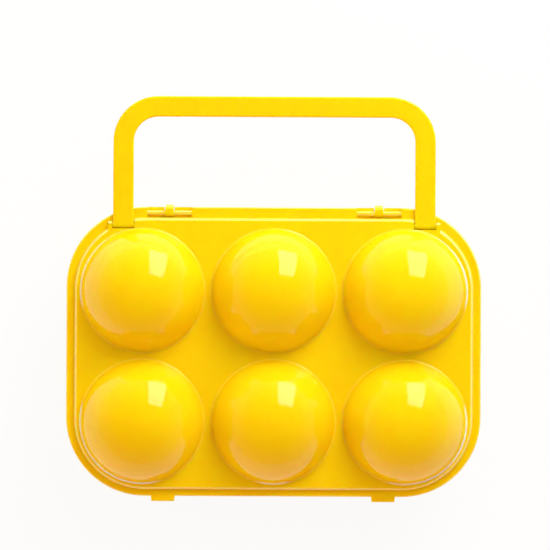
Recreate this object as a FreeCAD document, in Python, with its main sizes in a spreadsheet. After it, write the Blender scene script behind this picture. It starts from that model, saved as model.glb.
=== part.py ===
import FreeCAD, Part
import math
import os
import Sketcher
from FreeCAD import Placement, Rotation, Vector

# Driving dimensions in millimetres
SIZES = (
    # Egg cells
    ("pocket_radius", "23.3"),
    ("lid_lengthening", "0.5"),
    ("lid_crown_ease", "0.4"),
    ("base_lengthening", "12.9"),
    ("base_crown_ease", "6.3"),
    ("wall", "1.6"),
    ("column_gap", "2.4"),
    ("row_gap", "2.2"),
    ("foot_cut", "0.6"),
    # Rim and raised panel
    ("flange_thickness", "2.6"),
    ("panel_rise", "2.4"),
    ("shoulder", "2.0"),
    ("latch_shoulder", "3.8"),
    ("side_band", "3.4"),
    ("hinge_band", "2.8"),
    ("latch_band", "4.6"),
    ("corner_ease", "1.2"),
    ("dome_root_round", "0.8"),
    ("panel_round", "1.1"),
    ("band_root_round", "0.4"),
    ("rim_round", "0.6"),
    ("cup_mouth_round", "0.3"),
    # Locating lip of the base
    ("lip_height", "1.2"),
    ("lip_thickness", "1.0"),
    ("lip_gap", "0.3"),
    # Lid hinges
    ("hinge_offset", "8.4"),
    ("hinge_width", "9.8"),
    ("hinge_tip_width", "9.0"),
    ("hinge_reach", "2.1"),
    ("hinge_drop", "0.9"),
    ("knuckle_radius", "1.6"),
    ("knuckle_width", "5.0"),
    ("knuckle_flat", "0.1"),
    ("hinge_round", "0.5"),
    ("hinge_gap", "0.3"),
    ("hinge_pin_radius", "0.8"),
    # Latches
    ("latch_offset", "10.5"),
    ("notch_width", "17.6"),
    ("notch_back", "0.3"),
    ("bar_radius", "0.85"),
    ("bar_inset", "2.3"),
    ("clip_wall", "0.6"),
    ("clip_chamfer", "0.65"),
    ("latch_width", "3.4"),
    ("latch_gap", "0.2"),
    ("tongue_thickness", "1.0"),
    ("tongue_pocket", "1.3"),
    ("tongue_gap", "0.25"),
    ("hook_grip", "0.35"),
    ("hook_depth", "0.6"),
    ("hook_slope", "0.8"),
    ("finger_length", "3.8"),
    ("finger_flare", "1.1"),
    ("finger_round", "1.2"),
    # Carry handle
    ("handle_offset", "7.8"),
    ("handle_width", "8.2"),
    ("handle_thickness", "2.4"),
    ("handle_reach", "44.0"),
    ("handle_corner", "18.0"),
    ("handle_round", "0.8"),
    ("handle_gap", "0.2"),
    ("handle_side_gap", "0.3"),
    ("handle_pin_radius", "0.65"),
    ("pivot_inset", "2.6"),
    ("ear_reach", "1.3"),
    # Shared
    ("pin_gap", "0.05"),
    ("overrun", "1.0"),
)

# Places and sizes that follow from the driving dimensions, in the frame of the egg grid and parting plane
LAYOUT = (
    ("dome_radius", "sizes.pocket_radius + sizes.wall"),
    ("lid_depth", "sizes.pocket_radius + sizes.lid_lengthening"),
    ("lid_crown", "sizes.pocket_radius - sizes.lid_crown_ease"),
    ("base_depth", "sizes.pocket_radius + sizes.base_lengthening"),
    ("base_crown", "sizes.pocket_radius - sizes.base_crown_ease"),
    ("pitch_x", "2 * dome_radius + sizes.column_gap"),
    ("pitch_y", "2 * dome_radius + sizes.row_gap"),
    ("parting_height", "base_depth + sizes.wall - sizes.foot_cut"),
    ("panel_x", "pitch_x + dome_radius + sizes.shoulder"),
    ("panel_hinge", "pitch_y / 2 + dome_radius + sizes.shoulder"),
    ("panel_latch", "pitch_y / 2 + dome_radius + sizes.latch_shoulder"),
    ("panel_height", "sizes.flange_thickness + sizes.panel_rise"),
    ("rim_x", "panel_x + sizes.side_band"),
    ("rim_hinge", "panel_hinge + sizes.hinge_band"),
    ("rim_latch", "panel_latch + sizes.latch_band"),
    ("panel_corner", "dome_radius + sizes.shoulder + sizes.corner_ease"),
    ("rim_corner", "panel_corner + sizes.side_band"),
    ("lid_inset", "sizes.wall"),
    ("lip_inset", "sizes.wall + sizes.lip_gap"),
    ("base_inset", "lip_inset + sizes.lip_thickness"),
    ("hollow_depth", "panel_height - sizes.wall"),
    ("hinge_x", "pitch_x - sizes.hinge_offset"),
    ("hinge_edge", "rim_hinge + sizes.hinge_reach"),
    ("hinge_y", "sizes.knuckle_radius - hinge_edge"),
    ("hinge_inner", "hinge_y + sizes.knuckle_radius"),
    ("hinge_clear", "hinge_inner + sizes.hinge_gap"),
    ("hinge_low", "sizes.hinge_drop + sizes.knuckle_radius"),
    ("hood_under", "sizes.flange_thickness - 2 * sizes.hinge_drop + sizes.hinge_gap"),
    ("latch_x", "pitch_x - sizes.latch_offset"),
    ("notch_y", "panel_latch + sizes.notch_back"),
    ("clip_radius", "sizes.bar_radius + sizes.pin_gap + sizes.clip_wall"),
    ("bar_y", "rim_latch - sizes.bar_inset"),
    ("bar_z", "clip_radius + sizes.latch_gap"),
    ("clip_top", "bar_z + clip_radius"),
    ("ledge_y", "rim_latch - sizes.tongue_pocket"),
    ("tongue_in", "ledge_y + sizes.tongue_gap"),
    ("tongue_out", "tongue_in + sizes.tongue_thickness"),
    ("hook_y", "ledge_y - sizes.hook_grip"),
    ("hook_top", "-(sizes.flange_thickness + sizes.tongue_gap)"),
    ("hook_low", "hook_top - sizes.hook_depth"),
    ("hook_end", "hook_low - sizes.hook_slope"),
    ("finger_low", "hook_end - sizes.finger_length"),
    ("finger_tip", "rim_latch + sizes.finger_flare"),
    ("handle_x", "pitch_x + sizes.handle_offset"),
    ("handle_in", "handle_x - sizes.handle_width / 2"),
    ("handle_out", "handle_x + sizes.handle_width / 2"),
    ("handle_low", "sizes.flange_thickness + sizes.handle_gap"),
    ("handle_top", "rim_latch + sizes.handle_reach"),
    ("pivot_y", "panel_latch - sizes.pivot_inset"),
    ("pivot_z", "handle_low + sizes.handle_thickness / 2"),
    ("seat_in", "handle_in - sizes.handle_side_gap"),
    ("seat_out", "handle_out + sizes.handle_side_gap"),
    ("seat_back", "pivot_y - sizes.handle_thickness / 2 - sizes.handle_side_gap"),
    ("seat_front", "pivot_y + sizes.ear_reach"),
    ("seat_under", "sizes.lip_height + sizes.lip_gap"),
    ("ear_in", "seat_in - sizes.wall"),
    ("ear_out", "seat_out + sizes.wall"),
    ("shift_y", "(hinge_edge - handle_top) / 2"),
)

COLUMNS = 3
ROWS = 2
TOLERANCE = 1e-4

doc = FreeCAD.newDocument("egg_holder")


def fill_sheet(name, rows, formula):
    sheet = doc.addObject("Spreadsheet::Sheet", name)
    for row, (alias, content) in enumerate(rows, start=1):
        sheet.set(f"A{row}", alias)
        sheet.set(f"B{row}", formula + content)
        sheet.setAlias(f"B{row}", alias)
    doc.recompute()
    return sheet


fill_sheet("sizes", SIZES, "")
layout = fill_sheet("layout", LAYOUT, "=")


def value(expression):
    found = layout.evalExpression(expression)
    return float(getattr(found, "Value", found))


def new_body(label):
    body = doc.addObject("PartDesign::Body", label)
    body.Label = label
    return body


def place(piece, x="0", y="layout.shift_y", z="layout.parting_height"):
    for axis, expression in (("x", x), ("y", y), ("z", z)):
        piece.setExpression(f"Placement.Base.{axis}", expression)


def origin_feature(body, role):
    return next(feature for feature in body.Origin.OriginFeatures if feature.Role == role)


def new_sketch(body, name, role, **offsets):
    sketch = body.newObject("Sketcher::SketchObject", name)
    sketch.AttachmentSupport = (origin_feature(body, role), [""])
    sketch.MapMode = "FlatFace"
    for axis, expression in offsets.items():
        sketch.setExpression(f"AttachmentOffset.Base.{axis}", expression)
    return sketch


def bind(sketch, constraint, expression):
    index = sketch.addConstraint(constraint)
    sketch.setExpression(f"Constraints[{index}]", expression)


def pin_point(sketch, geometry, end, x, y):
    bind(sketch, Sketcher.Constraint("DistanceX", -1, 1, geometry, end, value(x)), x)
    bind(sketch, Sketcher.Constraint("DistanceY", -1, 1, geometry, end, value(y)), y)


def polygon(sketch, points):
    places = [Vector(value(x), value(y), 0) for x, y in points]
    first = sketch.GeometryCount
    count = len(points)
    for index in range(count):
        sketch.addGeometry(Part.LineSegment(places[index], places[(index + 1) % count]))
    for index, (x, y) in enumerate(points):
        following = first + (index + 1) % count
        sketch.addConstraint(Sketcher.Constraint("Coincident", first + index, 2, following, 1))
        pin_point(sketch, first + index, 1, x, y)


def rectangle(sketch, left, right, low, high):
    polygon(sketch, ((left, low), (right, low), (right, high), (left, high)))


def both_sides(sketch, inner, outer, low, high):
    rectangle(sketch, inner, outer, low, high)
    rectangle(sketch, f"-({outer})", f"-({inner})", low, high)


def circle(sketch, x, y, radius):
    centre = Vector(value(x), value(y), 0)
    index = sketch.addGeometry(Part.Circle(centre, Vector(0, 0, 1), value(radius)))
    pin_point(sketch, index, 3, x, y)
    bind(sketch, Sketcher.Constraint("Radius", index, value(radius)), radius)


def rounded_box(sketch, half, low, high, radius):
    x, y0, y1, r = value(half), value(low), value(high), value(radius)
    first = sketch.GeometryCount
    centres = ((x - r, y1 - r), (r - x, y1 - r), (r - x, y0 + r), (x - r, y0 + r))
    quarter = math.pi / 2
    for index, (cx, cy) in enumerate(centres):
        round_corner = Part.Circle(Vector(cx, cy, 0), Vector(0, 0, 1), r)
        sketch.addGeometry(Part.ArcOfCircle(round_corner, index * quarter, (index + 1) * quarter))
    ends = ((r - x, y1), (-x, y0 + r), (x - r, y0), (x, y1 - r))
    starts = ((x - r, y1), (-x, y1 - r), (r - x, y0), (x, y0 + r))
    for (sx, sy), (ex, ey) in zip(starts, ends):
        sketch.addGeometry(Part.LineSegment(Vector(sx, sy, 0), Vector(ex, ey, 0)))
    top, left, bottom, right = (first + 4 + index for index in range(4))
    for index in range(4):
        line = first + 4 + index
        sketch.addConstraint(Sketcher.Constraint("Tangent", first + index, 2, line, 1))
        sketch.addConstraint(Sketcher.Constraint("Tangent", line, 2, first + (index + 1) % 4, 1))
        sketch.addConstraint(Sketcher.Constraint(("Horizontal", "Vertical")[index % 2], line))
    for index in range(3):
        sketch.addConstraint(Sketcher.Constraint("Equal", first + index, first + index + 1))
    bind(sketch, Sketcher.Constraint("Radius", first, r), radius)
    bind(sketch, Sketcher.Constraint("DistanceY", -1, 1, top, 1, y1), high)
    bind(sketch, Sketcher.Constraint("DistanceX", -1, 1, left, 1, -x), f"-({half})")
    bind(sketch, Sketcher.Constraint("DistanceY", -1, 1, bottom, 1, y0), low)
    bind(sketch, Sketcher.Constraint("DistanceX", -1, 1, right, 1, x), half)


def panel_loop(sketch, inset):
    rounded_box(
        sketch,
        f"layout.panel_x - {inset}",
        f"{inset} - layout.panel_hinge",
        f"layout.panel_latch - {inset}",
        f"layout.panel_corner - {inset}",
    )


# Half the outline of an egg's end: a side arc that leaves the parting plane upright and a tangent, tighter crown arc
def egg_end(sketch, half, skin):
    radius, height = f"sizes.pocket_radius + {skin}", f"layout.{half}_depth + {skin}"
    crown = f"layout.{half}_crown + {skin}"
    r, h, c = value(radius), value(height), value(crown)
    crown_z = h - c
    side = (c * c - r * r - crown_z * crown_z) / (2 * (c - r))
    meet = math.atan2(crown_z, side - r)
    normal = Vector(0, 0, 1)
    sketch.addGeometry(Part.ArcOfCircle(Part.Circle(Vector(r - side, 0, 0), normal, side), 0, meet))
    sketch.addGeometry(Part.ArcOfCircle(Part.Circle(Vector(0, crown_z, 0), normal, c), meet, math.pi / 2))
    sketch.addGeometry(Part.LineSegment(Vector(0, h, 0), Vector(0, 0, 0)))
    sketch.addGeometry(Part.LineSegment(Vector(0, 0, 0), Vector(r, 0, 0)))
    sketch.addConstraint(Sketcher.Constraint("Tangent", 0, 2, 1, 1))
    for first, second in ((1, 2), (2, 3), (3, 0)):
        sketch.addConstraint(Sketcher.Constraint("Coincident", first, 2, second, 1))
    sketch.addConstraint(Sketcher.Constraint("Coincident", 2, 2, -1, 1))
    sketch.addConstraint(Sketcher.Constraint("PointOnObject", 2, 1, -2))
    sketch.addConstraint(Sketcher.Constraint("PointOnObject", 0, 3, -1))
    sketch.addConstraint(Sketcher.Constraint("PointOnObject", 1, 3, -2))
    sketch.addConstraint(Sketcher.Constraint("Horizontal", 3))
    bind(sketch, Sketcher.Constraint("DistanceX", -1, 1, 3, 2, r), radius)
    bind(sketch, Sketcher.Constraint("DistanceY", -1, 1, 2, 1, h), height)
    bind(sketch, Sketcher.Constraint("Radius", 1, c), crown)


def extrude(body, kind, name, sketch, length, reverse=False, symmetric=False):
    feature = body.newObject(f"PartDesign::{kind}", name)
    feature.Profile = sketch
    feature.Reversed = reverse
    if symmetric:
        feature.SideType = "Symmetric"
    feature.setExpression("Length", length)
    doc.recompute()
    return feature


def mirror(body, name, features):
    feature = body.newObject("PartDesign::Mirrored", name)
    feature.Originals = features
    feature.MirrorPlane = (origin_feature(body, "YZ_Plane"), [""])
    body.Tip = feature
    doc.recompute()
    return feature


def revolve_cells(body, kind, name, half, skin):
    sketch = new_sketch(body, f"{name}_profile", "XZ_Plane", x="-layout.pitch_x", z="layout.pitch_y / 2")
    egg_end(sketch, half, skin)
    feature = body.newObject(f"PartDesign::{kind}", name)
    feature.Profile = sketch
    feature.ReferenceAxis = (sketch, ["V_Axis"])
    feature.Angle = 360
    doc.recompute()
    cells = body.newObject("PartDesign::LinearPattern", f"{name}_grid")
    cells.Originals = [feature]
    cells.Direction = (origin_feature(body, "X_Axis"), [""])
    cells.Occurrences = COLUMNS
    cells.setExpression("Length", f"layout.pitch_x * {COLUMNS - 1}")
    cells.Direction2 = (origin_feature(body, "Y_Axis"), [""])
    cells.Occurrences2 = ROWS
    cells.setExpression("Length2", f"layout.pitch_y * {ROWS - 1}")
    body.Tip = cells
    doc.recompute()
    return cells


def fillet(body, name, radius, chosen):
    base = body.Tip
    edges = [f"Edge{index}" for index, edge in enumerate(base.Shape.Edges, start=1) if chosen(edge)]
    if not edges:
        raise RuntimeError(f"{name} finds no edges")
    feature = body.newObject("PartDesign::Fillet", name)
    feature.Base = (base, edges)
    feature.setExpression("Radius", radius)
    doc.recompute()
    return feature


def level(edge, height):
    box = edge.BoundBox
    return abs(box.ZMin - height) < TOLERANCE and abs(box.ZMax - height) < TOLERANCE


def middle(edge):
    return edge.valueAt((edge.FirstParameter + edge.LastParameter) / 2)


def is_cell_circle(edge):
    return edge.isClosed() and edge.BoundBox.XLength < 2 * value("layout.dome_radius") + TOLERANCE


def on_rim(edge):
    point = middle(edge)
    if isinstance(edge.Curve, Part.Circle):
        return edge.Curve.Radius > value("layout.panel_corner") + TOLERANCE
    past_side = abs(point.x) > value("layout.panel_x") + TOLERANCE
    past_latch = point.y > value("layout.panel_latch") + TOLERANCE
    return past_side or past_latch or -point.y > value("layout.panel_hinge") + TOLERANCE


# Flange, raised panel and domes of one half, cells upward from the parting plane
def shell_outside(body, half):
    rim = new_sketch(body, "rim_outline", "XY_Plane")
    rounded_box(rim, "layout.rim_x", "-layout.rim_hinge", "layout.rim_latch", "layout.rim_corner")
    extrude(body, "Pad", "rim", rim, "sizes.flange_thickness")
    panel = new_sketch(body, "panel_outline", "XY_Plane")
    panel_loop(panel, "0")
    extrude(body, "Pad", "panel", panel, "layout.panel_height")
    revolve_cells(body, "Revolution", "domes", half, "sizes.wall")
    flange, top = value("sizes.flange_thickness"), value("layout.panel_height")
    fillet(body, "dome_roots", "sizes.dome_root_round", lambda edge: level(edge, top) and is_cell_circle(edge))
    fillet(body, "panel_edge", "sizes.panel_round", lambda edge: level(edge, top) and not is_cell_circle(edge))
    fillet(body, "rim_edge", "sizes.rim_round", lambda edge: level(edge, flange) and on_rim(edge))
    fillet(body, "band_root", "sizes.band_root_round", lambda edge: level(edge, flange) and is_band_root(edge))


def is_band_root(edge):
    point = middle(edge)
    inside_x = abs(point.x) < value("layout.panel_x") + TOLERANCE
    inside_y = -value("layout.panel_hinge") - TOLERANCE < point.y < value("layout.panel_latch") + TOLERANCE
    round_corner = isinstance(edge.Curve, Part.Circle)
    if round_corner and edge.Curve.Radius > value("layout.panel_corner") + TOLERANCE:
        return False
    return inside_x and inside_y


def shell_hollow(body, inset):
    hollow = new_sketch(body, "hollow_outline", "XY_Plane")
    panel_loop(hollow, inset)
    extrude(body, "Pocket", "hollow", hollow, "layout.hollow_depth", reverse=True)


def shell_pockets(body, half):
    revolve_cells(body, "Groove", "pockets", half, "0")


def bore_pair(body, name, face_x, y, z, radius, length):
    sketch = new_sketch(body, f"{name}_circle", "YZ_Plane", z=face_x)
    circle(sketch, y, z, radius)
    bore = extrude(body, "Pocket", name, sketch, length)
    mirror(body, f"{name}_pair", [bore])


def make_lid():
    body = new_body("lid_shell")
    shell_outside(body, "lid")
    shell_hollow(body, "layout.lid_inset")
    lid_handle_seats(body)
    shell_pockets(body, "lid")
    lid_handle_recesses(body)
    lid_latch_bars(body)
    lid_hinge_hoods(body)
    place(body)
    return body


# Solid blocks under the panel where the handle is seated, with an ear beyond the panel edge
def lid_handle_seats(body):
    sketch = new_sketch(body, "handle_seat_outline", "XY_Plane", z="layout.seat_under")
    back = "layout.seat_back - sizes.wall"
    both_sides(sketch, "layout.ear_in", "layout.ear_out", back, "layout.seat_front")
    extrude(body, "Pad", "handle_seats", sketch, "layout.panel_height - layout.seat_under")


def lid_handle_recesses(body):
    sketch = new_sketch(body, "handle_recess_outline", "XY_Plane", z="layout.panel_height + sizes.overrun")
    both_sides(sketch, "layout.seat_in", "layout.seat_out", "layout.seat_back", "layout.rim_latch")
    extrude(body, "Pocket", "handle_recesses", sketch, "sizes.panel_rise + sizes.overrun")
    front, top, outer = (value(f"layout.{name}") for name in ("seat_front", "panel_height", "seat_out"))

    def is_ear_nose(edge):
        point = middle(edge)
        return level(edge, top) and abs(point.y - front) < TOLERANCE and abs(point.x) > outer

    fillet(body, "ear_noses", "sizes.panel_round", is_ear_nose)
    bore_pair(
        body,
        "handle_bore",
        "layout.ear_out",
        "layout.pivot_y",
        "layout.pivot_z",
        "sizes.handle_pin_radius + sizes.pin_gap",
        "layout.ear_out - layout.ear_in",
    )


def lid_latch_bars(body):
    notch = new_sketch(body, "latch_notch_outline", "XY_Plane")
    inner = "layout.latch_x - sizes.notch_width / 2"
    outer = "layout.latch_x + sizes.notch_width / 2"
    both_sides(notch, inner, outer, "layout.notch_y", "layout.rim_latch + sizes.overrun")
    extrude(body, "Pocket", "latch_notches", notch, "sizes.flange_thickness", reverse=True)
    bar = new_sketch(body, "latch_bar_circle", "YZ_Plane")
    circle(bar, "layout.bar_y", "layout.bar_z", "sizes.bar_radius")
    length = "2 * layout.latch_x + sizes.notch_width + 2 * sizes.bar_radius"
    extrude(body, "Pad", "latch_bars", bar, length, symmetric=True)


# Tabs that cover the middle knuckles, rounded about the hinge axis, with a bored cheek at each end
def lid_hinge_hoods(body):
    sketch = new_sketch(body, "hinge_hood_outline", "XY_Plane", z="sizes.flange_thickness")
    for side in ("", "-"):
        centre = f"{side}layout.hinge_x"
        polygon(
            sketch,
            (
                (f"{centre} - sizes.hinge_width / 2", "layout.hinge_inner"),
                (f"{centre} - sizes.hinge_tip_width / 2", "-layout.hinge_edge"),
                (f"{centre} + sizes.hinge_tip_width / 2", "-layout.hinge_edge"),
                (f"{centre} + sizes.hinge_width / 2", "layout.hinge_inner"),
            ),
        )
    extrude(body, "Pad", "hinge_hoods", sketch, "sizes.flange_thickness + layout.hinge_low")
    body.Tip.Reversed = True
    doc.recompute()
    low, top, edge_y = -value("layout.hinge_low"), value("sizes.flange_thickness"), -value("layout.hinge_edge")

    def is_along_bottom(edge):
        return level(edge, low) and edge.BoundBox.YLength < TOLERANCE

    def is_outer_top(edge):
        return level(edge, top) and abs(edge.BoundBox.YMax - edge_y) < TOLERANCE

    fillet(body, "hinge_noses", "sizes.knuckle_radius - sizes.knuckle_flat / 2", is_along_bottom)
    fillet(body, "hinge_edges", "sizes.hinge_round", is_outer_top)
    relief = new_sketch(body, "hinge_relief_outline", "XY_Plane", z="layout.hood_under")
    room = "(sizes.knuckle_width / 2 + sizes.hinge_gap)"
    outside = "-(layout.hinge_edge + sizes.overrun)"
    both_sides(relief, f"layout.hinge_x - {room}", f"layout.hinge_x + {room}", outside, "layout.hinge_clear")
    extrude(body, "Pocket", "hinge_reliefs", relief, "layout.hood_under + layout.hinge_low + sizes.overrun")
    bore_pair(
        body,
        "hinge_bore",
        "layout.hinge_x + sizes.hinge_width / 2",
        "layout.hinge_y",
        "-sizes.hinge_drop",
        "sizes.hinge_pin_radius + sizes.pin_gap",
        "sizes.hinge_width",
    )


# The base is built cells upward like the lid and turned over about Y by its placement
def make_base():
    body = new_body("base_shell")
    shell_outside(body, "base")
    shell_hollow(body, "layout.base_inset")
    shell_pockets(body, "base")
    floor = value("layout.hollow_depth")
    fillet(body, "cup_mouths", "sizes.cup_mouth_round", lambda e: level(e, floor) and is_cell_circle(e))
    base_feet(body)
    base_lip(body)
    base_latch_ledges(body)
    base_hinge_knuckles(body)
    body.Placement = Placement(Vector(0, 0, 0), Rotation(Vector(0, 1, 0), 180))
    place(body)
    return body


def base_feet(body):
    sketch = new_sketch(body, "foot_outline", "XY_Plane", z="layout.parting_height")
    rounded_box(sketch, "layout.rim_x", "-layout.rim_hinge", "layout.rim_latch", "layout.rim_corner")
    extrude(body, "Pocket", "feet", sketch, "sizes.foot_cut + sizes.overrun", reverse=True)


def base_lip(body):
    sketch = new_sketch(body, "lip_outline", "XY_Plane")
    panel_loop(sketch, "layout.lip_inset")
    panel_loop(sketch, "layout.base_inset")
    extrude(body, "Pad", "locating_lip", sketch, "sizes.lip_height", reverse=True)


def base_latch_ledges(body):
    sketch = new_sketch(body, "ledge_outline", "XY_Plane")
    room = "(sizes.latch_width / 2 + sizes.hinge_gap)"
    inner, outer = f"layout.latch_x - {room}", f"layout.latch_x + {room}"
    both_sides(sketch, inner, outer, "layout.ledge_y", "layout.rim_latch + sizes.overrun")
    extrude(body, "Pocket", "latch_ledges", sketch, "sizes.flange_thickness", reverse=True)


def base_hinge_knuckles(body):
    slot = new_sketch(body, "hinge_slot_outline", "XY_Plane")
    room = "(sizes.hinge_width / 2 + sizes.hinge_gap)"
    outside = "-(layout.rim_hinge + sizes.overrun)"
    both_sides(slot, f"layout.hinge_x - {room}", f"layout.hinge_x + {room}", outside, "layout.hinge_clear")
    extrude(body, "Pocket", "hinge_slots", slot, "sizes.flange_thickness", reverse=True)
    neck = new_sketch(body, "hinge_neck_outline", "XY_Plane")
    half = "sizes.knuckle_width / 2"
    rooted = "layout.hinge_clear + sizes.knuckle_flat"
    both_sides(neck, f"layout.hinge_x - {half}", f"layout.hinge_x + {half}", "layout.hinge_y", rooted)
    extrude(body, "Pad", "hinge_necks", neck, "layout.hinge_low", reverse=False)
    face_x = f"layout.hinge_x + {half}"
    round_sketch = new_sketch(body, "knuckle_circle", "YZ_Plane", z=face_x)
    circle(round_sketch, "layout.hinge_y", "sizes.hinge_drop", "sizes.knuckle_radius")
    knuckle = extrude(body, "Pad", "hinge_knuckle", round_sketch, "sizes.knuckle_width", reverse=True)
    mirror(body, "hinge_knuckle_pair", [knuckle])
    radius = "sizes.hinge_pin_radius + sizes.pin_gap"
    bore_pair(body, "hinge_bore", face_x, "layout.hinge_y", "sizes.hinge_drop", radius, "sizes.knuckle_width")


# Strap handle with a barrel at the foot of each arm
def make_handle():
    body = new_body("carry_handle")
    inside = "layout.handle_top - sizes.handle_width"
    outline = new_sketch(body, "strap_outline", "XY_Plane", z="layout.handle_low")
    polygon(
        outline,
        (
            ("-layout.handle_out", "layout.pivot_y"),
            ("-layout.handle_in", "layout.pivot_y"),
            ("-layout.handle_in", inside),
            ("layout.handle_in", inside),
            ("layout.handle_in", "layout.pivot_y"),
            ("layout.handle_out", "layout.pivot_y"),
            ("layout.handle_out", "layout.handle_top"),
            ("-layout.handle_out", "layout.handle_top"),
        ),
    )
    extrude(body, "Pad", "strap", outline, "sizes.handle_thickness")
    foot_y, inner_y, outer_y = value("layout.pivot_y"), value(inside), value("layout.handle_top")

    def upright_at(height):
        return lambda e: e.BoundBox.ZLength > TOLERANCE and abs(e.BoundBox.YMax - height) < TOLERANCE

    fillet(body, "outer_bends", "sizes.handle_corner", upright_at(outer_y))
    fillet(body, "inner_bends", "sizes.handle_corner - sizes.handle_width", upright_at(inner_y))
    fillet(
        body,
        "strap_edges",
        "sizes.handle_round",
        lambda e: e.BoundBox.ZLength < TOLERANCE and e.BoundBox.YMax > foot_y + TOLERANCE,
    )
    barrel = new_sketch(body, "barrel_circle", "YZ_Plane", z="layout.handle_in")
    circle(barrel, "layout.pivot_y", "layout.pivot_z", "sizes.handle_thickness / 2")
    first = extrude(body, "Pad", "barrel", barrel, "sizes.handle_width")
    mirror(body, "barrel_pair", [first])
    bore = new_sketch(body, "barrel_bore_circle", "YZ_Plane")
    circle(bore, "layout.pivot_y", "layout.pivot_z", "sizes.handle_pin_radius + sizes.pin_gap")
    extrude(body, "Pocket", "barrel_bores", bore, "2 * (layout.handle_out + sizes.overrun)", symmetric=True)
    place(body)
    return body


# Clasp that clips round the lid's bar and hooks under the base's rim, with a flared finger end
def make_latch(label, x):
    body = new_body(label)
    profile = new_sketch(body, "clasp_profile", "YZ_Plane")
    polygon(
        profile,
        (
            ("layout.bar_y", "layout.clip_top"),
            ("layout.bar_y", "sizes.latch_gap"),
            ("layout.tongue_in", "sizes.latch_gap"),
            ("layout.tongue_in", "layout.hook_top"),
            ("layout.hook_y", "layout.hook_top"),
            ("layout.hook_y", "layout.hook_low"),
            ("layout.tongue_in", "layout.hook_end"),
            ("layout.finger_tip - sizes.tongue_thickness", "layout.finger_low"),
            ("layout.finger_tip", "layout.finger_low"),
            ("layout.tongue_out", "layout.hook_end"),
            ("layout.tongue_out", "layout.clip_top - sizes.clip_chamfer"),
            ("layout.tongue_out - sizes.clip_chamfer", "layout.clip_top"),
        ),
    )
    extrude(body, "Pad", "clasp", profile, "sizes.latch_width", symmetric=True)
    ring = new_sketch(body, "clip_circle", "YZ_Plane")
    circle(ring, "layout.bar_y", "layout.bar_z", "layout.clip_radius")
    extrude(body, "Pad", "clip", ring, "sizes.latch_width", symmetric=True)
    bore = new_sketch(body, "clip_bore_circle", "YZ_Plane")
    circle(bore, "layout.bar_y", "layout.bar_z", "sizes.bar_radius + sizes.pin_gap")
    extrude(body, "Pocket", "clip_bore", bore, "sizes.latch_width + 2 * sizes.overrun", symmetric=True)
    low, side = value("layout.finger_low"), value("sizes.latch_width / 2")
    fillet(
        body,
        "finger_corners",
        "sizes.finger_round",
        lambda e: level(e, low) and e.BoundBox.XLength < TOLERANCE and abs(abs(middle(e).x) - side) < TOLERANCE,
    )
    place(body, x=x)
    return body


def make_pin(label, radius, length, x, y, z):
    pin = doc.addObject("Part::Cylinder", label)
    pin.Label = label
    pin.Placement = Placement(Vector(0, 0, 0), Rotation(Vector(0, 1, 0), 90))
    pin.setExpression("Radius", radius)
    pin.setExpression("Height", length)
    place(pin, f"{x} - ({length}) / 2", f"{y} + layout.shift_y", f"{z} + layout.parting_height")
    return pin


def make_pins():
    pins = []
    for side, sign in (("left", "-"), ("right", "")):
        hinge = (f"{sign}layout.hinge_x", "layout.hinge_y", "-sizes.hinge_drop")
        pins.append(make_pin(f"hinge_pin_{side}", "sizes.hinge_pin_radius", "sizes.hinge_tip_width", *hinge))
        seat = (f"{sign}layout.handle_x", "layout.pivot_y", "layout.pivot_z")
        length = "layout.ear_out - layout.ear_in - 2 * sizes.pin_gap"
        pins.append(make_pin(f"handle_pin_{side}", "sizes.handle_pin_radius", length, *seat))
    return pins


def save(pieces):
    doc.recompute()
    for item in doc.Objects:
        if "Invalid" in item.State or "Error" in item.State:
            raise RuntimeError(f"{item.Label} did not build: {item.State}")
    os.makedirs("parts", exist_ok=True)
    for piece in pieces:
        if piece.Shape.isNull() or not piece.Shape.isValid() or len(piece.Shape.Solids) != 1:
            raise RuntimeError(f"{piece.Label} is not one sound solid")
        piece.Shape.exportStep(os.path.join("parts", f"{piece.Label}.step"))


latches = [make_latch("latch_left", "-layout.latch_x"), make_latch("latch_right", "layout.latch_x")]
save([make_base(), make_lid(), make_handle(), *latches, *make_pins()])
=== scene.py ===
import math

import bpy
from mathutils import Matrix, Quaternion, Vector


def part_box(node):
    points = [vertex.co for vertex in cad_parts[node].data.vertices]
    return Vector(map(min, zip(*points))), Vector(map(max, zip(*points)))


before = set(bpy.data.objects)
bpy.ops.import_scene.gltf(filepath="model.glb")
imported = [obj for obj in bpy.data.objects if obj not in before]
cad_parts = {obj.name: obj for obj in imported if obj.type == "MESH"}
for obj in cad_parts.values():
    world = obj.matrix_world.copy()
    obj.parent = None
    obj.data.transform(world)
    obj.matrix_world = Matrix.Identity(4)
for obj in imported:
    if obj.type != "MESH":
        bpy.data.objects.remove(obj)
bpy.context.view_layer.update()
lid_low, lid_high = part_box("lid_shell")

# The photograph's frame: a square image that looks straight down on the lid
IMAGE_PIXELS = 550
PIXEL_METRES = 0.3986e-3
LATCH_EDGE_ROW = 207.5
CENTRE_COLUMN = 274.0
ROLL_DEGREES = 0.3
CAMERA_DISTANCE = 2.4
CAMERA_CLIP = 20.0
SENSOR_METRES = 0.036
MILLIMETRES_PER_METRE = 1000

# Colours are linear, as the shader takes them
WHITE = (1.0, 1.0, 1.0)
YELLOW = (0.96, 0.70, 0.004)
YELLOW_DEEP = (0.95, 0.66, 0.003)
YELLOW_PALE = (0.97, 0.74, 0.010)
# Painted highlight: pale colour laid on the rounded panel and rim edges, where reflections show
PAINTED_EDGE_HIGHLIGHT = (0.98, 0.83, 0.28)
# Painted highlight: near-white lines at the roots of the outer domes, standing in for reflections
PAINTED_ROOT_HIGHLIGHT = (0.99, 0.97, 0.90)
FLOOR_WHITE = (0.86, 0.92, 0.95)
WORLD_WARM = (1.0, 0.80, 0.60)
KEY_COLOUR = (1.0, 0.985, 0.95)
FILL_COLOUR = (1.0, 0.40, 0.20)
LEFT_COLOUR = (1.0, 0.66, 0.36)

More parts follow.
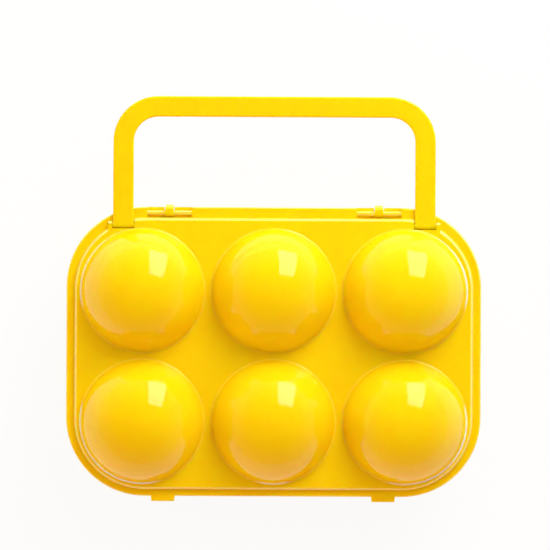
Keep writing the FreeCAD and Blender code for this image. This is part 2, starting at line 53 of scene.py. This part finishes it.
# The plastic: light that scatters inside it, its gloss, and the roughness of each kind of piece
SCATTER_SHARE = 0.85
SCATTER_METRES = 0.0015
SCATTER_COLOUR_REACH = (1.0, 0.55, 0.06)
PLASTIC_IOR = 1.42
SHELL_ROUGHNESS = 0.06
STRAP_ROUGHNESS = 0.09
PIN_ROUGHNESS = 0.16

# Surface detail: noise scales per metre, the span of noise that shows, and how strongly it shows
DRIFT_SCALE = 26.0
DRIFT_DETAIL = 3.0
DRIFT_SPAN = (0.35, 0.65)
DRIFT_SHARE = 0.55
DULL_SPAN = (0.3, 0.7)
DULL_ROUGHNESS = 0.05
FLOW_SCALE = 160.0
FLOW_STRETCH = (1.0, 0.12, 0.12)
FLOW_TURN = (0.0, 0.0, 0.6)
FLOW_SPAN = (0.55, 0.8)
FLOW_SHARE = 0.35
SCUFF_SCALE = 2400.0
SCUFF_DETAIL = 4.0
SCUFF_GRAIN = 0.65
SCUFF_SPAN = (0.62, 0.78)
SCUFF_ROUGHNESS = 0.10
PEEL_SCALE = 900.0
PEEL_STRENGTH = 0.06
PEEL_DEPTH = 0.00012

# Sizes of the two halves that place the painted highlights, in metres: bands round the raised panel, steps
# and rounds
SIDE_BAND = 0.0034
LATCH_BAND = 0.0046
HINGE_BAND = 0.0028
HINGE_REACH = 0.0021
CHEEK_DROP = 0.0025
FLANGE_THICKNESS = 0.0026
PANEL_RISE = 0.0024
PANEL_CORNER = 0.0281
PANEL_ROUND = 0.0011
RIM_ROUND = 0.0006

# Painted edge highlights: how soft they end, the tilt at which a surface counts as an edge, and the least
# strength of the painted highlights
EDGE_SOFT = 0.0001
EDGE_TILT = (0.35, 0.93)
EDGE_TILT_SOFT = 0.06
HIGHLIGHT_LEAST = 0.55
# Painted highlight at dome roots: heights above the panel, and where it starts and is full inside its edge
ROOT_START = 0.00003
ROOT_END = 0.0006
ROOT_SOFT = 0.00002
ROOT_MARGINS = (0.0034, 0.0024)
IN_PLAN = (1.0, 1.0, 0.0)
ORIGIN = (0.0, 0.0, 0.0)

# Heights from the parting plane, which lies CHEEK_DROP above the lid's lowest points, its hinge cheeks
parting = lid_low.z + CHEEK_DROP
flange_top = parting + FLANGE_THICKNESS
panel_top = flange_top + PANEL_RISE
flange_foot = parting - FLANGE_THICKNESS
panel_foot = flange_foot - PANEL_RISE
# Lowest and highest point of each rounded edge that gets a painted highlight
lid_edges = ((panel_top - PANEL_ROUND, panel_top), (flange_top - RIM_ROUND, flange_top))
base_edges = ((panel_foot, panel_foot + PANEL_ROUND), (flange_foot, flange_foot + RIM_ROUND))
# The lid's raised panel in plan: its middle, and half the straight stretch of its sides
panel_low = Vector((lid_low.x + SIDE_BAND, lid_low.y + HINGE_REACH + HINGE_BAND, 0.0))
panel_high = Vector((lid_high.x - SIDE_BAND, lid_high.y - LATCH_BAND, 0.0))
panel_middle = (panel_low + panel_high) / 2
panel_straight = (panel_high - panel_low) / 2 - Vector((PANEL_CORNER, PANEL_CORNER, 0.0))

# Strength of the studio walls at the horizon and overhead, and the share of the floor that shows plain white
WORLD_LOW = 0.85
WORLD_HIGH = 0.04
WORLD_FADE = 0.65
FLOOR_SIZE = 24.0
FLOOR_LIFT = 0.92


def opaque(colour):
    return (*colour, 1.0)


def node_tree(name):
    material = bpy.data.materials.new(name)
    material.use_nodes = True
    tree = material.node_tree
    tree.nodes.clear()
    return material, tree


# A node with its settings, and with each named input linked from a socket or set to a value
def add(tree, kind, inputs=(), **settings):
    node = tree.nodes.new(kind)
    for name, setting in settings.items():
        setattr(node, name, setting)
    for name, value in dict(inputs).items():
        if isinstance(value, bpy.types.NodeSocket):
            tree.links.new(value, node.inputs[name])
        else:
            node.inputs[name].default_value = value
    return node


def noise(tree, place, scale, detail=2.0, grain=0.5):
    inputs = {"Vector": place, "Scale": scale, "Detail": detail, "Roughness": grain}
    return add(tree, "ShaderNodeTexNoise", inputs).outputs["Fac"]


# Maps a span of values to a reach of values, and holds it beyond both ends
def spread(tree, value, span, reach):
    inputs = {"Value": value}
    inputs.update(zip(("From Min", "From Max"), span))
    inputs.update(zip(("To Min", "To Max"), reach))
    return add(tree, "ShaderNodeMapRange", inputs).outputs["Result"]


def blend_colours(tree, share, first, second):
    node = add(tree, "ShaderNodeMix", {"Factor": share}, data_type="RGBA")
    for name, colour in (("A", first), ("B", second)):
        target = next(socket for socket in node.inputs if socket.name == name and socket.type == "RGBA")
        if isinstance(colour, tuple):
            target.default_value = opaque(colour)
        else:
            tree.links.new(colour, target)
    return next(socket for socket in node.outputs if socket.type == "RGBA")


def combine(tree, operation, first, second):
    return add(tree, "ShaderNodeMath", {0: first, 1: second}, operation=operation).outputs["Value"]


def combine_vectors(tree, operation, first, second):
    return add(tree, "ShaderNodeVectorMath", {0: first, 1: second}, operation=operation).outputs["Vector"]


# One between low and high, and zero outside them
def window(tree, value, low, high, soft):
    rise = spread(tree, value, (low - soft, low), (0.0, 1.0))
    fall = spread(tree, value, (high, high + soft), (1.0, 0.0))
    return combine(tree, "MINIMUM", rise, fall)


def height_of(tree, vector):
    return add(tree, "ShaderNodeSeparateXYZ", {"Vector": vector}).outputs["Z"]


# Distance in plan from the panel's inner rectangle, which is PANEL_CORNER at the panel's edge
def panel_reach(tree, place):
    here = combine_vectors(tree, "SUBTRACT", place, panel_middle)
    here = combine_vectors(tree, "MULTIPLY", here, IN_PLAN)
    folded = add(tree, "ShaderNodeVectorMath", {0: here}, operation="ABSOLUTE").outputs["Vector"]
    beyond = combine_vectors(tree, "SUBTRACT", folded, panel_straight)
    beyond = combine_vectors(tree, "MAXIMUM", beyond, ORIGIN)
    return add(tree, "ShaderNodeVectorMath", {0: beyond}, operation="LENGTH").outputs["Value"]


# Painted highlight: pale rounded edges, where the surface turns at the given heights
def paint_edge_highlights(tree, coordinates, uneven, toned, edges):
    height = height_of(tree, coordinates.outputs["Object"])
    facing = height_of(tree, coordinates.outputs["Normal"])
    upright = add(tree, "ShaderNodeMath", {0: facing}, operation="ABSOLUTE").outputs["Value"]
    tilted = window(tree, upright, *EDGE_TILT, EDGE_TILT_SOFT)
    for low, high in edges:
        level = window(tree, height, low, high, EDGE_SOFT)
        edge_highlight = combine(tree, "MULTIPLY", combine(tree, "MULTIPLY", level, tilted), uneven)
        toned = blend_colours(tree, edge_highlight, toned, PAINTED_EDGE_HIGHLIGHT)
    return toned


# Painted highlight: near-white lines at the roots of the domes, beside the panel's narrow margin
def paint_root_highlights(tree, coordinates, uneven, toned):
    place = coordinates.outputs["Object"]
    level = window(tree, height_of(tree, place), panel_top + ROOT_START, panel_top + ROOT_END, ROOT_SOFT)
    inside = [PANEL_CORNER - margin for margin in ROOT_MARGINS]
    beside_edge = spread(tree, panel_reach(tree, place), inside, (0.0, 1.0))
    root_highlight = combine(tree, "MULTIPLY", combine(tree, "MULTIPLY", level, beside_edge), uneven)
    return blend_colours(tree, root_highlight, toned, PAINTED_ROOT_HIGHLIGHT)


# Glossy moulded plastic: slow colour drift from the melt, faint flow marks, fine peel and handling scuffs,
# and where asked, painted highlights on rounded edges and dome roots
def moulded_plastic(name, colour, deep, pale, roughness, edges=(), roots=False):
    material, tree = node_tree(name)
    coordinates = add(tree, "ShaderNodeTexCoord")
    place = coordinates.outputs["Object"]
    stretch = {"Vector": place, "Scale": FLOW_STRETCH, "Rotation": FLOW_TURN}
    stretched = add(tree, "ShaderNodeMapping", stretch).outputs["Vector"]

    drift = noise(tree, place, DRIFT_SCALE, detail=DRIFT_DETAIL)
    flow = noise(tree, stretched, FLOW_SCALE)
    scuff = noise(tree, stretched, SCUFF_SCALE, detail=SCUFF_DETAIL, grain=SCUFF_GRAIN)
    peel = noise(tree, place, PEEL_SCALE)

    toned = blend_colours(tree, spread(tree, drift, DRIFT_SPAN, (0.0, DRIFT_SHARE)), colour, deep)
    toned = blend_colours(tree, spread(tree, flow, FLOW_SPAN, (0.0, FLOW_SHARE)), toned, pale)
    # Strength of the painted highlights on edges and dome roots, uneven over the surface
    uneven = spread(tree, drift, DRIFT_SPAN, (HIGHLIGHT_LEAST, 1.0))
    if edges:
        toned = paint_edge_highlights(tree, coordinates, uneven, toned, edges)
    # Painted highlight at the dome roots
    if roots:
        toned = paint_root_highlights(tree, coordinates, uneven, toned)

    dulled = spread(tree, drift, DULL_SPAN, (roughness, roughness + DULL_ROUGHNESS))
    scuffed = spread(tree, scuff, SCUFF_SPAN, (0.0, SCUFF_ROUGHNESS))
    bump = {"Height": peel, "Strength": PEEL_STRENGTH, "Distance": PEEL_DEPTH}
    finish = {
        "Base Color": toned,
        "Roughness": combine(tree, "ADD", dulled, scuffed),
        "Normal": add(tree, "ShaderNodeBump", bump).outputs["Normal"],
        "IOR": PLASTIC_IOR,
        "Subsurface Weight": SCATTER_SHARE,
        "Subsurface Radius": SCATTER_COLOUR_REACH,
        "Subsurface Scale": SCATTER_METRES,
    }
    shader = add(tree, "ShaderNodeBsdfPrincipled", finish, subsurface_method="RANDOM_WALK")
    add(tree, "ShaderNodeOutputMaterial", {"Surface": shader.outputs["BSDF"]})
    return material


# Camera rays, and the rays that reflections and clear pieces send
def shown_rays(tree):
    path = add(tree, "ShaderNodeLightPath")
    seen = combine(tree, "MAXIMUM", path.outputs["Is Camera Ray"], path.outputs["Is Glossy Ray"])
    return combine(tree, "MAXIMUM", seen, path.outputs["Is Transmission Ray"])


# Floor that shows white to the camera and in reflections, and keeps part of the shadow
def floor_material():
    material, tree = node_tree("floor_white")
    diffuse = add(tree, "ShaderNodeBsdfDiffuse", {"Color": opaque(FLOOR_WHITE)})
    glow = add(tree, "ShaderNodeEmission", {"Color": opaque(WHITE), "Strength": 1.0})
    share = combine(tree, "MULTIPLY", shown_rays(tree), FLOOR_LIFT)
    shown = {"Fac": share, 1: diffuse.outputs["BSDF"], 2: glow.outputs["Emission"]}
    mixed = add(tree, "ShaderNodeMixShader", shown)
    add(tree, "ShaderNodeOutputMaterial", {"Surface": mixed.outputs["Shader"]})
    return material


def make_floor():
    mesh = bpy.data.meshes.new("floor")
    half = FLOOR_SIZE / 2
    corners = [(-half, -half, 0.0), (half, -half, 0.0), (half, half, 0.0), (-half, half, 0.0)]
    mesh.from_pydata(corners, [], [(0, 1, 2, 3)])
    floor = bpy.data.objects.new("floor", mesh)
    bpy.context.scene.collection.objects.link(floor)
    mesh.materials.append(floor_material())


# Warm studio walls, dim overhead where the camera hangs
def make_world():
    world = bpy.data.worlds.new("studio")
    bpy.context.scene.world = world
    world.use_nodes = True
    tree = world.node_tree
    tree.nodes.clear()
    direction = add(tree, "ShaderNodeTexCoord").outputs["Generated"]
    strength = spread(tree, height_of(tree, direction), (0.0, WORLD_FADE), (WORLD_LOW, WORLD_HIGH))
    walls = add(tree, "ShaderNodeBackground", {"Color": opaque(WORLD_WARM), "Strength": strength})
    add(tree, "ShaderNodeOutputWorld", {"Surface": walls.outputs["Background"]})


# A rectangular lamp that faces the lid; only one that glints shows in the gloss
def make_lamp(name, direction, distance, size, watts, colour, roll_degrees=0.0, glints=False):
    data = bpy.data.lights.new(name, "AREA")
    data.shape = "RECTANGLE"
    data.size, data.size_y = size
    data.energy = watts
    data.color = colour
    lamp = bpy.data.objects.new(name, data)
    bpy.context.scene.collection.objects.link(lamp)
    way = Vector(direction).normalized()
    lamp.location = (lid_low + lid_high) / 2 + way * distance
    turned = Quaternion((0.0, 0.0, 1.0), math.radians(roll_degrees))
    lamp.rotation_euler = (way.to_track_quat("Z", "Y") @ turned).to_euler()
    lamp.visible_glossy = glints


def make_lamps():
    make_lamp(
        "key_softbox", (0.374, 0.799, 0.471), distance=0.85, size=(0.43, 0.80), watts=6.0, colour=KEY_COLOUR,
        roll_degrees=17.0, glints=True,
    )
    make_lamp(
        "key_spread", (0.22, 0.46, 0.86), distance=0.90, size=(1.00, 1.00), watts=5.0, colour=KEY_COLOUR,
    )
    make_lamp(
        "fill_left", (-0.88, 0.12, 0.46), distance=1.10, size=(1.20, 1.00), watts=6.8, colour=LEFT_COLOUR,
    )
    make_lamp(
        "fill_low", (0.20, -0.90, 0.38), distance=1.10, size=(1.20, 0.90), watts=5.6, colour=FILL_COLOUR,
    )


# Camera above the lid, with PIXEL_METRES to a pixel at the height of the lid's lowest point
def make_camera():
    half_image = IMAGE_PIXELS / 2
    aim_x = (half_image - CENTRE_COLUMN) * PIXEL_METRES
    aim_y = lid_high.y - (half_image - LATCH_EDGE_ROW) * PIXEL_METRES
    sensor = SENSOR_METRES * MILLIMETRES_PER_METRE
    data = bpy.data.cameras.new("camera")
    data.sensor_fit = "HORIZONTAL"
    data.sensor_width = sensor
    data.lens = sensor * CAMERA_DISTANCE / (IMAGE_PIXELS * PIXEL_METRES)
    data.clip_end = CAMERA_CLIP
    camera = bpy.data.objects.new("camera", data)
    bpy.context.scene.collection.objects.link(camera)
    camera.location = (aim_x, aim_y, lid_low.z + CAMERA_DISTANCE)
    camera.rotation_euler = (0.0, 0.0, math.radians(ROLL_DEGREES))
    bpy.context.scene.camera = camera


def dress(material, *names):
    for name in names:
        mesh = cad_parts[name].data
        mesh.materials.clear()
        mesh.materials.append(material)


def dress_nodes():
    tones = (YELLOW, YELLOW_DEEP, YELLOW_PALE)
    # Lid with painted highlights on its rounded edges and at its dome roots
    dress(moulded_plastic("lid_plastic", *tones, SHELL_ROUGHNESS, lid_edges, roots=True), "lid_shell")
    # Base with painted highlights on its rounded edges
    dress(moulded_plastic("base_plastic", *tones, SHELL_ROUGHNESS, base_edges), "base_shell")
    straps = ("carry_handle", "latch_left", "latch_right")
    dress(moulded_plastic("strap_plastic", *tones, STRAP_ROUGHNESS), *straps)
    pins = ("hinge_pin_left", "hinge_pin_right", "handle_pin_left", "handle_pin_right")
    dress(moulded_plastic("pin_plastic", YELLOW_DEEP, YELLOW, YELLOW_PALE, PIN_ROUGHNESS), *pins)


dress_nodes()
make_floor()
make_world()
make_lamps()
make_camera()
bpy.context.scene.view_settings.view_transform = "Standard"
